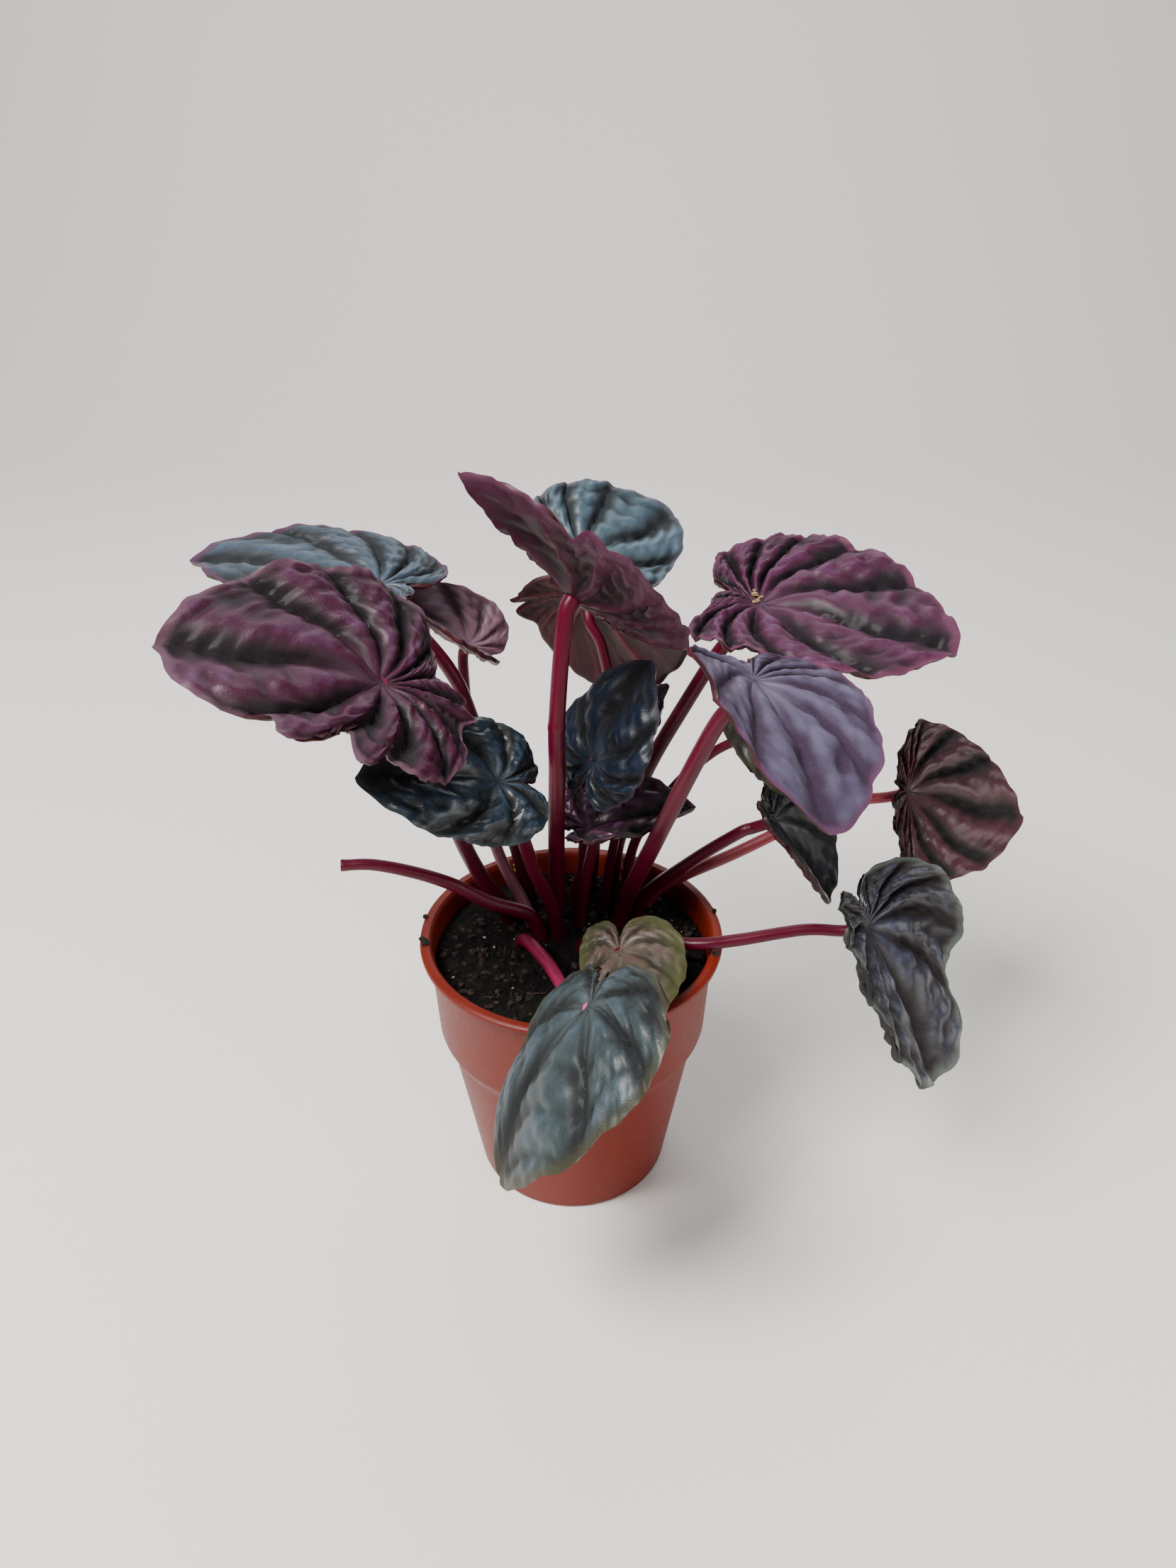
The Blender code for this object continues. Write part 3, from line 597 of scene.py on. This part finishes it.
         ridge=(82, 66, 56), valley_and_shade=(40, 34, 22), rim=(62, 66, 26), under=(58, 42, 26),
         rough=0.46, painted_sheen=0.35, edge=0.5,
         stalk=[(1, 1), (3, -3, 56.5), (6.5, -8.5, 59)]),
    dict(name="hidden_right", at=(37, 6, 102), heading=-60, pitch=-30, roll=0,
         length=19, width=0.9, droop=20, cup=-10, back=0.6,
         radius=1.05, small=True, ripple=1.1,
         ridge=(42, 44, 28), valley_and_shade=(20, 20, 14), rim=(48, 46, 26), under=(44, 28, 20),
         rough=0.44,
         stalk=[(10.5, 13.3), (12.5, 12.6, 69), (19.3, 11.7, 82.3), (27, 10, 92)]),
]
LEAVES = [USUAL | leaf for leaf in LEAVES]

# Angle from the tip and radius / length of the heart-shaped outline.
OUTLINE = [(0, 1.0), (12, 0.92), (30, 0.80), (50, 0.70), (70, 0.635), (90, 0.60), (110, 0.575),
           (130, 0.545), (150, 0.49), (165, 0.40), (175, 0.27), (180, 0.15)]

# In mm, apart from the fork's width, as a share of a ridge, and the rim's, of the way out.
BLADE_THICKNESS = 0.8
VEIN_BEND = radians(34)
VEIN_LINE = 0.32
FORK_LINE = 0.28
FORK_WIDTH = 0.15
FLAT_CENTRE = 3.0
DIMPLE_DEPTH = 0.9
DIMPLE_RADIUS = 3.5
PIT_DEPTH = 0.9
MARGIN_WAVE = 0.8
RIM_WIDTH = 0.05
SMALL_GRID = (144, 52)
LARGE_GRID = (192, 68)


def outline_radius(angle, bites):
    """Radius / length of the heart outline at an angle from the tip, less what was bitten off."""
    degrees = np.abs(np.degrees((angle + pi) % (2 * pi) - pi))
    knots, values = zip(*OUTLINE)
    even = np.linspace(0, 180, 181)
    padded = np.pad(np.interp(even, knots, values), 4, mode="reflect")
    spread = np.convolve(padded, np.ones(9) / 9, "valid")
    spread[:9] = np.interp(even[:9], knots, values)
    radius = np.interp(degrees, even, spread)
    for centre, depth, width in bites:
        away = np.degrees((angle - radians(centre) + pi) % (2 * pi) - pi)
        radius = radius * (1 - depth * np.exp(-(away / width) ** 2))
    return radius


def leaf_frame(leaf):
    """Columns: tip direction, left side, upper side."""
    heading, pitch, roll = (radians(leaf[key]) for key in ("heading", "pitch", "roll"))
    tip = np.array((cos(pitch) * cos(heading), cos(pitch) * sin(heading), sin(pitch)))
    left = np.array((-sin(heading), cos(heading), 0.0))
    upper = np.cross(tip, left)
    side, up = left * cos(roll) + upper * sin(roll), upper * cos(roll) - left * sin(roll)
    return np.stack([tip, side, up], axis=1)


def bend(x, z, turn):
    """Bends the x axis of a sheet into an arc, down for a positive turn per mm."""
    turn = np.where(np.abs(turn) < 1e-6, 1e-6, turn)  # A flat sheet has no arc to divide by.
    angle = x * turn
    return np.sin(angle) / turn + z * np.sin(angle), (np.cos(angle) - 1) / turn + z * np.cos(angle)


def ease(value, low, high):
    """Runs smoothly from 0 to 1 as a value goes from low to high."""
    t = np.clip((value - low) / (high - low), 0, 1)
    return t * t * (3 - 2 * t)


def relief(leaf, s, angle):
    """The quilting: ridges between forking veins, pinches across them, soft lumps, and vein lines."""
    seed = leaf["length"] * 1.7 + leaf["heading"] * 0.13
    veins, calm = leaf["veins"], leaf["calm"]
    drift = 0.14 * s * np.sin(2 * angle + seed) + 0.08 * s * np.sin(3 * angle + 3.5 * s + 2 * seed)
    drift = calm * drift * np.sin(angle / 2) ** 2 - 0.08 * np.sin(angle)
    turns = (angle + drift + 0.03 * np.sin(9 * s + seed)) * veins / (2 * pi)
    cell = np.floor(turns) % veins
    side = turns - np.floor(turns) - 0.5
    main = np.clip(np.cos(pi * side), 0, 1) ** 0.6
    fork_at = 0.14 * np.sin(2.3 * cell + seed)
    depth = calm * (0.3 + 0.25 * np.sin(1.9 * cell + seed))
    depth = depth * ease(s, 0.42 + 0.1 * np.sin(cell * 3.1), 0.85)
    ridge = np.clip(main - depth * np.exp(-(((side - fork_at) / FORK_WIDTH) ** 2)), 0, 1)
    lines = s * leaf["pinches"] - 1.4 * np.abs(side - fork_at) + 0.37 * cell
    lines = lines + 0.3 * np.sin(2.3 * cell + seed)
    pinch = calm * (np.abs(np.sin(pi * lines)) ** 0.8 - 0.6) * main * ease(s, 0.15, 0.4)
    x, y = s * np.cos(angle) * leaf["length"], s * np.sin(angle) * leaf["length"]
    lump = np.sin(0.9 * x + 0.5 * y + seed) * np.sin(0.8 * y - 0.7 * x + 3 * seed)
    lump = lump + 0.6 * np.sin(1.7 * x - 1.1 * y)
    wide = 2 * pi * s * 0.6 * leaf["length"] / veins
    vein = np.exp(-(((0.5 - np.abs(side)) * wide / VEIN_LINE) ** 2))
    fork = 0.7 * np.exp(-(((side - fork_at) * wide / FORK_LINE) ** 2)) * ease(s, 0.35, 0.6)
    vein = np.maximum(vein, fork)
    vein = vein * ease(s, 0.02, 0.1) * (1 - ease(s, 0.9, 1.0))
    return ridge, pinch, lump * ease(s, 0.1, 0.4), vein


def pit(leaf, s, angle):
    """1 in the middle of each dark pit of a blade, and 0 away from them."""
    sunk = np.zeros_like(s)
    for reach, degrees, size in leaf["pits"]:
        x = s * np.cos(angle) - reach * cos(radians(degrees))
        y = s * np.sin(angle) - reach * sin(radians(degrees))
        sunk = sunk + np.exp(-(x**2 + y**2) * (leaf["length"] / size) ** 2)
    return sunk


def blade_points(leaf, s, angle):
    """Points of the upper face: s runs from the stalk to the margin, and angle round from the tip."""
    length = leaf["length"]
    reach = s * outline_radius(angle, leaf["bites"])
    wobble = 0.012 * s * np.sin(11 * angle + length) + 0.008 * s * np.sin(23 * angle + 2 * length)
    reach = reach * (1 + wobble)
    turned = angle + VEIN_BEND * np.sin(angle) * (1 - s)
    x = reach * np.cos(turned) * length
    x = np.where(x < 0, x * leaf["back"], x)
    y = reach * np.sin(turned) * length * leaf["width"]
    y = y * (1 + leaf["skew"] * np.sign(y))
    ridge, pinch, lump, vein = relief(leaf, s, angle)
    swell = s**1.1 * (2.4 - 2.0 * s) / 0.7
    quilt = swell * (ridge - 0.55) + 0.26 * pinch + 0.07 * lump
    height = leaf["ripple"] * leaf["quilt"] * np.clip(reach / np.maximum(s, 0.01) / 0.75, 0.25, 1)
    z = height * quilt * (1 - np.exp(-(reach * length / FLAT_CENTRE) ** 2))
    z = z - DIMPLE_DEPTH * np.exp(-(reach * length / DIMPLE_RADIUS) ** 2) - PIT_DEPTH * pit(leaf, s, angle)
    z = z + MARGIN_WAVE * s**2 * np.sin(3 * angle + length) * np.abs(np.sin(angle / 2))
    fold = radians(leaf["fold"])
    aside = np.sqrt(y**2 + 4) - 2
    y, z = y * cos(fold) - np.sign(y) * z * sin(fold) * 0.5, z * cos(fold) + aside * sin(fold)
    y, z = bend(y, z, -radians(leaf["cup"]) / (0.6 * length * leaf["width"]))
    turn = np.where(x > 0, radians(leaf["droop"]), radians(leaf["lobe"])) / length
    x, z = bend(x, z, turn)
    return np.array(leaf["at"]) + np.stack([x, y, z], axis=-1) @ leaf_frame(leaf).T


def blade_up(leaf, s, angle):
    """Direction square to the blade, out of its upper face."""
    s = np.clip(s, 0.12, 0.99)
    out = blade_points(leaf, s + 0.01, angle) - blade_points(leaf, s - 0.01, angle)
    aside = blade_points(leaf, s, angle + 0.02) - blade_points(leaf, s, angle - 0.02)
    up = np.cross(out, aside)
    return up / np.linalg.norm(up, axis=1)[:, None]


def blade_place(leaf):
    """Lays a grid over the upper face, round the rim and back under the blade."""
    steady = blade_up(leaf, np.full(24, 0.2), np.arange(24) * pi / 12).mean(axis=0)
    steady = steady / np.linalg.norm(steady)

    def place(u, v):
        angle = 2 * pi * u
        w = 1 - np.abs(2 * v - 1)
        s = 1 - (1 - w) ** 1.3
        below = v > 0.5 + 1e-6
        share = ease(s, 0.03, 0.25)[:, None]
        up = blade_up(leaf, s, angle) * share + steady * (1 - share)
        rim = np.clip(s - (1 - RIM_WIDTH), 0, 1) / RIM_WIDTH
        wall = BLADE_THICKNESS * np.sqrt(np.clip(1 - rim**2, 0, 1))
        points = blade_points(leaf, s, angle) - up * np.where(below, wall, 0)[:, None]
        ridge, pinch, lump, vein = relief(leaf, s, angle)
        quilt = np.clip(ridge + 0.4 * pinch + 0.06 * lump, 0, 1) * (1 - pit(leaf, s, angle))
        return points, {"ridge": quilt, "reach": s, "vein": vein, "below": np.where(below, 1.0, 0.0)}

    return place


def leaf_skin(leaf):
    """The waxy upper face: dark in the furrows, partly painted shade, with painted highlights on the
    crests.
    """
    skin = Paint(leaf["name"] + "_skin", IOR=1.45, Specular_IOR_Level=leaf["spec"],
                 Coat_Weight=leaf["gloss"], Coat_Roughness=0.22, Subsurface_Weight=0.05,
                 Subsurface_Scale=0.002)
    ridge, reach, vein = (skin.attribute(key) for key in ("ridge", "reach", "vein"))
    cloud = skin.noise(95.0, 4.0)
    patch = skin.noise(420.0, 4.0, rough=0.65)
    speck = skin.noise(3200.0, 2.0)
    # Furrows and pits take the valley colour: partly the leaf's own dark, partly painted shade.
    high = skin.step(ridge + (cloud - 0.5) * 0.4 + (patch - 0.5) * 0.2, 0.5, 1.02)
    color = skin.mix(high, tone(*leaf["valley_and_shade"]), tone(*leaf["ridge"]))
    # Painted highlight: a paler, bluer copy of the ridge colour on the crests, in patches, as sheen.
    painted_highlight = tone(*(c * 0.8 + lift for c, lift in zip(leaf["ridge"], (42, 44, 58))))
    crest = skin.step(ridge + (patch - 0.5) * 0.5, 0.78, 1.1)
    highlight_patches = skin.step(cloud + (patch - 0.5) * 0.6, 0.4, 0.66)
    color = skin.mix(crest * highlight_patches * leaf["painted_sheen"], color, painted_highlight)
    near = tone(*(c * 0.8 + 34 for c in leaf["ridge"]))
    line = skin.mix(skin.step(reach, 0.15, 0.5), near, tone(*leaf["valley_and_shade"]))
    color = skin.mix(vein * skin.step(reach, 0.1, 0.5, 0.6, 0.3), color, line)
    margin = skin.step(reach + (patch - 0.5) * 0.06, leaf["edge"], 0.985)
    color = skin.mix(margin * 0.8, color, tone(*leaf["rim"]))
    # Painted glitter: fine specks of the painted highlight over the whole face.
    color = skin.mix(skin.step(speck, 0.55, 0.75) * 0.14, color, painted_highlight)
    rough = skin.step(ridge, 0.35, 0.95, 0.85, leaf["rough"]) + (patch - 0.5) * 0.16
    skin.dress(Base_Color=color, Roughness=rough)
    skin.bump(speck * 0.5 + patch * 0.5, 0.5, 0.00022)
    return skin.material


def leaf_back(leaf):
    """The duller underside, with the veins standing out a little."""
    back = Paint(leaf["name"] + "_back", IOR=1.42, Subsurface_Weight=0.08, Subsurface_Scale=0.002)
    vein = back.attribute("vein")
    ridge = back.attribute("ridge")
    cloud = back.noise(120.0, 4.0)
    speck = back.noise(2400.0, 2.0)
    # Painted shade: the underside is darker where it is hollow, behind the ridges of the upper face.
    hollow_shade = tone(*(c * 0.6 for c in leaf["under"]))
    color = back.mix(back.step(ridge + (cloud - 0.5) * 0.9, 0.1, 0.9), tone(*leaf["under"]), hollow_shade)
    if "outer" in leaf:
        outward = back.attribute("reach") + (cloud - 0.5) * 0.3
        color = back.mix(back.step(outward, 0.6, 0.85), color, tone(*leaf["outer"]))
    color = back.mix(vein * 0.4, color, tone(*(min(255, c * 1.3 + 22) for c in leaf["under"])))
    color = back.mix(back.step(speck, 0.5, 0.7) * 0.2, color, tone(*(c * 1.15 for c in leaf["under"])))
    back.dress(Base_Color=color, Roughness=back.step(cloud, 0.3, 0.7, 0.42, 0.55))
    back.bump(vein * 0.8 + speck * 0.2, 0.3, 0.0003)
    return back.material


for leaf in LEAVES:
    around, rings = SMALL_GRID if leaf["small"] else LARGE_GRID
    blade = wrapped("leaf_" + leaf["name"], around, rings, blade_place(leaf))
    below = np.empty(len(blade.data.vertices))
    blade.data.attributes["below"].data.foreach_get("value", below)
    under = [below[list(face.vertices)].mean() > 0.3 for face in blade.data.polygons]
    skins = [leaf_skin(leaf), leaf_back(leaf)]
    finish(blade, skins, 75, ["blade_" + leaf["name"]])
    blade.data.polygons.foreach_set("material_index", np.array(under, int))


# Leaf stalks
# Fleshy round stalks, crimson and a little streaked along their length, thickest at the soil.
# Each runs up from the crown and into the underside of its blade.
def stalk_paint(name, low, high, streak):
    skin = Paint(name, IOR=1.42, Specular_IOR_Level=0.35, Subsurface_Weight=0.05, Subsurface_Scale=0.002)
    along, round_x, round_y = (skin.attribute(key) for key in ("along", "round_x", "round_y"))
    wound = skin.add("ShaderNodeCombineXYZ", values={0: round_x * 2.2, 1: round_y * 2.2, 2: along * 3.5})
    lines = skin.noise(2.2, 4.0, wound)
    cloud = skin.noise(160.0, 3.0)
    speck = skin.noise(1500.0, 2.0)
    color = skin.mix(skin.step(along + (cloud - 0.5) * 0.4, 0.15, 0.95), tone(*low), tone(*high))
    color = skin.mix(skin.step(lines, 0.5, 0.72) * 0.5, color, tone(*streak))
    color = skin.mix(skin.step(speck, 0.62, 0.74) * 0.15, color, tone(*(c + 40 for c in high)))
    skin.dress(Base_Color=color, Roughness=skin.step(cloud, 0.3, 0.7, 0.3, 0.42))
    skin.bump(lines * 0.7 + speck * 0.3, 0.3, 0.00025)
    return skin.material


crimson = stalk_paint("crimson_stalk", (70, 0, 25), (82, 0, 31), (46, 0, 17))
mauve = stalk_paint("mauve_stalk", (112, 62, 78), (92, 8, 38), (78, 26, 44))
rose = stalk_paint("rose_stalk", (88, 2, 36), (142, 26, 70), (74, 4, 34))
pale_pink = stalk_paint("pale_stalk", (116, 36, 50), (152, 52, 66), (172, 94, 96))

PAINTED = {"far_right": (pale_pink, "pale_stalk"), "small_back_left": (mauve, "crimson_stalk"),
           "front_draped": (rose, "crimson_stalk")}
KNOTS = {"upper_folded": [(0.73, 0.1)]}
KNOT_WIDTH = 0.008
NECK = 5.0
NECK_REACH = 8
JOIN_DEPTH = 0.35
BARE_STALK = [(-5.6, 3.2), (-8, 2.7, 58.5), (-16.1, -0.4, 64.4), (-22.4, -1.7, 69.4), (-29.3, -2.8, 73),
              (-37, -4.1, 75.8), (-43, -5, 76.3)]


def stalk_radius(low, high, knots=()):
    """The radius along a stalk in mm, wider at the soil and the blade and at its knots."""

    def radius(t):
        size = np.interp(t, (0, 0.25, 1), (1.05 * low, low, high)) * (1 + 0.1 * ease(t, 0.96, 1.0))
        for place, rise in knots:
            size = size * (1 + rise * np.exp(-((t - place) / KNOT_WIDTH) ** 2))
        return size

    return radius


def stalk(name, points, radius, material):
    """One stalk through points in mm, the first of which is where it stands in the soil."""
    x, y = points[0]
    route = [(x, y, SOIL_TOP - 8), (x, y, SOIL_TOP - 4)] + points[1:]
    piece = wrapped("petiole_" + name, 28, 150, tube_place(route, radius, 110, 0.02))
    finish(piece, [material], 75, ["stalk_" + name])


for leaf in LEAVES:
    middle = blade_points(leaf, np.zeros(1), np.zeros(1))[0]
    tip, left, back, right = blade_points(leaf, np.full(4, 0.2), np.arange(4) * pi / 2)
    upper = np.cross(tip - back, left - right)
    upper = upper / np.linalg.norm(upper)
    points = [point for point in leaf["stalk"]
              if len(point) < 3 or np.linalg.norm(middle - point) > NECK_REACH]
    coming = middle - np.array((points[-1] + (SOIL_TOP,))[:3])
    coming = coming / np.linalg.norm(coming) * 0.6 + upper * 0.4
    points += [tuple(middle - coming * NECK), tuple(middle - upper * JOIN_DEPTH)]
    paint, slot = PAINTED.get(leaf["name"], (crimson, "crimson_stalk"))
    radius = stalk_radius(leaf["radius"], 0.85 * leaf["radius"], KNOTS.get(leaf["name"], ()))
    stalk(leaf["name"], points, radius, paint)
stalk("bare", BARE_STALK, stalk_radius(1.5, 1.05), crimson)


# Scraps
# A dry papery leaf that curled up and fell between the stalks, a yellow-green bit of a flower
# bud, and a few straw-coloured crumbs that fell onto the broad leaf on the right.
SCRAP_THICKNESS = 0.22


def scrap_place(place_at, size, tilt, curl):
    """A thin ragged disc of a size in mm, waved by its curl and turned to a tilt."""
    turn = np.array(Vector((0, 0, 1)).rotation_difference(Vector(tilt)).to_matrix())

    def place(u, v):
        angle = 2 * pi * u
        w = 1 - np.abs(2 * v - 1)
        rough = 1 + 0.12 * np.sin(5 * angle + 1) + 0.07 * np.sin(11 * angle)
        x = w * np.cos(angle) * rough * size[0] / 2
        y = w * np.sin(angle) * rough * size[1] / 2 * (1 - 0.35 * np.abs(np.cos(angle)))
        wave = 0.3 * np.sin(1.1 * x + 1) + 0.25 * np.cos(1.6 * y) + 0.05 * y * y
        wave = wave + 0.1 * np.sin(3.1 * x + 2.2 * y)
        z = curl * wave - np.where(v > 0.5, SCRAP_THICKNESS, 0.0) * np.sqrt(np.clip(1 - w**6, 0, 1))
        points = np.stack([x, y, z], axis=1) @ turn.T + np.array(place_at)
        return points, {"reach": w}

    return place


paper = Paint("dry_leaf", Roughness=0.8)
crease = paper.noise(520.0, 5.0, rough=0.7)
stain = paper.noise(220.0, 3.0)
papery = paper.mix(paper.step(stain, 0.35, 0.65), tone(112, 56, 40), tone(170, 104, 70))
papery = paper.mix(paper.step(paper.attribute("reach"), 0.82, 1.0) * 0.6, papery, tone(196, 160, 96))
paper.dress(Base_Color=papery)
paper.bump(crease, 0.8, 0.0005)
dry_leaf = wrapped("fallen_leaf", 64, 30, scrap_place((12, 20.3, 58), (7.5, 6), (-0.2, -0.9, 0.5), 1.6))
finish(dry_leaf, [paper.material], 70, ["dry_leaf"])

straw = Paint("straw", Roughness=0.9)
straw.dress(Base_Color=straw.mix(straw.noise(900.0, 2.0), tone(96, 74, 44), tone(176, 152, 108)))
CRUMB_REACHES = np.array((0.08, 0.13, 0.1, 0.16, 0.06))
CRUMB_ANGLES = np.array((1.6, 2.2, 2.9, 1.9, 2.5))
CRUMB_LIFT = 0.35
broad = next(leaf for leaf in LEAVES if leaf["name"] == "broad_right")
bits = blade_points(broad, CRUMB_REACHES, CRUMB_ANGLES)
bits = bits + CRUMB_LIFT * blade_up(broad, CRUMB_REACHES, CRUMB_ANGLES)
scattered("leaf_crumbs", straw.material, list(bits), 2, (0.3, 0.6), 0.7, 0.3)

bud = Paint("bud_scrap", Roughness=0.5, Subsurface_Weight=0.1, Subsurface_Scale=0.001)
mottle = bud.noise(600.0, 4.0)
bud.dress(Base_Color=bud.mix(bud.step(mottle, 0.35, 0.65), tone(160, 150, 50), tone(210, 204, 110)))
bud.bump(mottle, 0.6, 0.0004)
bud_scrap = wrapped("bud_bit", 48, 24, scrap_place((-10, 17.5, 60.5), (5, 4), (0.1, -0.9, 0.5), 1.3))
finish(bud_scrap, [bud.material], 70, ["bud_scrap"])


# Floor and light
# A plain pale sweep under and behind the plant, lit by a softbox like a window at the upper
# left, a weak fill at the right, and a wide cool one above and behind.
SWEEP_START = 0.55
SWEEP_RADIUS = 0.35

floor = grid("floor_sweep", 2, 60, 3)
flat = corners(floor)
past = np.clip(flat[:, 1] - SWEEP_START, 0, None)
arc = np.minimum(past / SWEEP_RADIUS, pi / 2)
flat[:, 2] = SWEEP_RADIUS * (1 - np.cos(arc)) + np.clip(past - SWEEP_RADIUS * pi / 2, 0, None)
flat[:, 1] = np.where(past > 0, SWEEP_START + SWEEP_RADIUS * np.sin(arc), flat[:, 1])
moved(floor, flat)
bpy.ops.object.shade_smooth()
sweep = Paint("pale_floor", Roughness=0.7)
wash = sweep.noise(3.0, 2.0)
sweep.dress(Base_Color=sweep.mix(wash, tone(234, 228, 222), tone(240, 235, 229)))
floor.data.materials.append(sweep.material)


def softbox(name, place, aim, size, power, color):
    """A square lamp at a place, turned to its aim."""
    deselect()
    bpy.ops.object.light_add(type="AREA", location=place)
    lamp = bpy.context.object
    lamp.name = name
    lamp.data.size = size
    lamp.data.energy = power
    lamp.data.color = color
    lamp.rotation_euler = (Vector(aim) - Vector(place)).to_track_quat("-Z", "Y").to_euler()


softbox("window", (-0.33, -0.28, 0.72), (0.01, 0, 0.09), 0.35, 13.0, (1.0, 0.98, 0.95))
softbox("fill", (0.6, -0.45, 0.4), (0, 0, 0.08), 0.5, 2.2, (1.0, 0.97, 0.94))
softbox("sky", (0.05, 0.55, 0.8), (0, 0, 0.1), 0.7, 3.6, (0.86, 0.94, 1.0))
world = bpy.data.worlds.new("room")
bpy.context.scene.world = world
world.use_nodes = True
backdrop = world.node_tree.nodes["Background"]
backdrop.inputs["Color"].default_value = (0.86, 0.9, 0.95, 1.0)
backdrop.inputs["Strength"].default_value = 0.32
